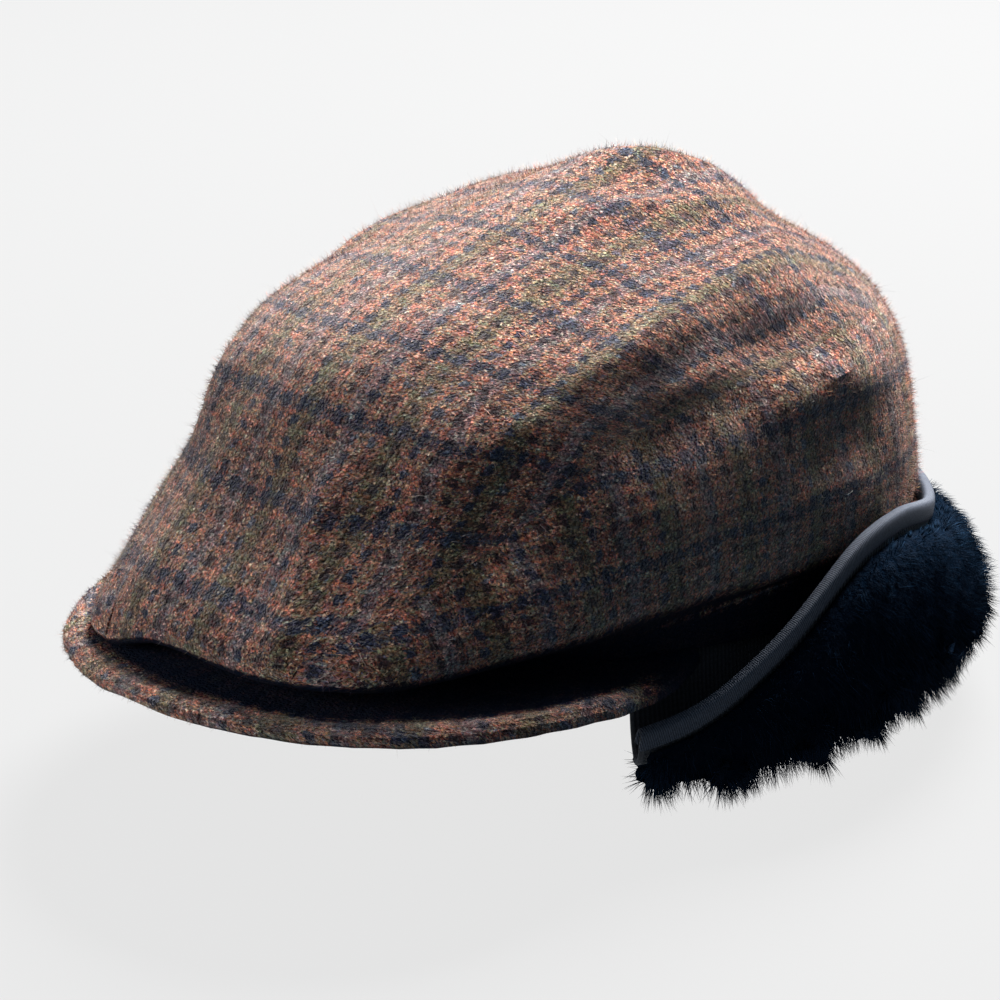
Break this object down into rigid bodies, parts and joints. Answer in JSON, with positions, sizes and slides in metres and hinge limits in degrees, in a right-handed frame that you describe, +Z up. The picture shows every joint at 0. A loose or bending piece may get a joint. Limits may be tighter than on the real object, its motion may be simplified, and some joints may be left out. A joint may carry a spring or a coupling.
{
  "type": "earflap flat cap",
  "caption": "Wool tweed flat cap with a full crown over a short curved peak and a taped fur earflap turned up round its sides and back",
  "frame": {"origin": "the middle of the head opening, in the plane where the peak meets the crown", "axes": "+Z up, the peak points to -Y, +X is the wearer's left"},
  "size_m": [0.2347, 0.3005, 0.1603],
  "materials": {
    "tweed": "brushed wool tweed with a small rust and brown check and a navy overcheck",
    "earflap_cloth": "matt black knitted backing",
    "tape": "ribbed charcoal tape",
    "fur": "black pile fur"
  },
  "bodies": {
    "root": {"crown_top_panel": "tweed", "crown_side_left": "tweed", "crown_side_right": "tweed", "peak": "tweed", "earflap": "earflap_cloth", "earflap_binding": "tape", "earflap_fur": "fur"}
  },
  "joints": []
}
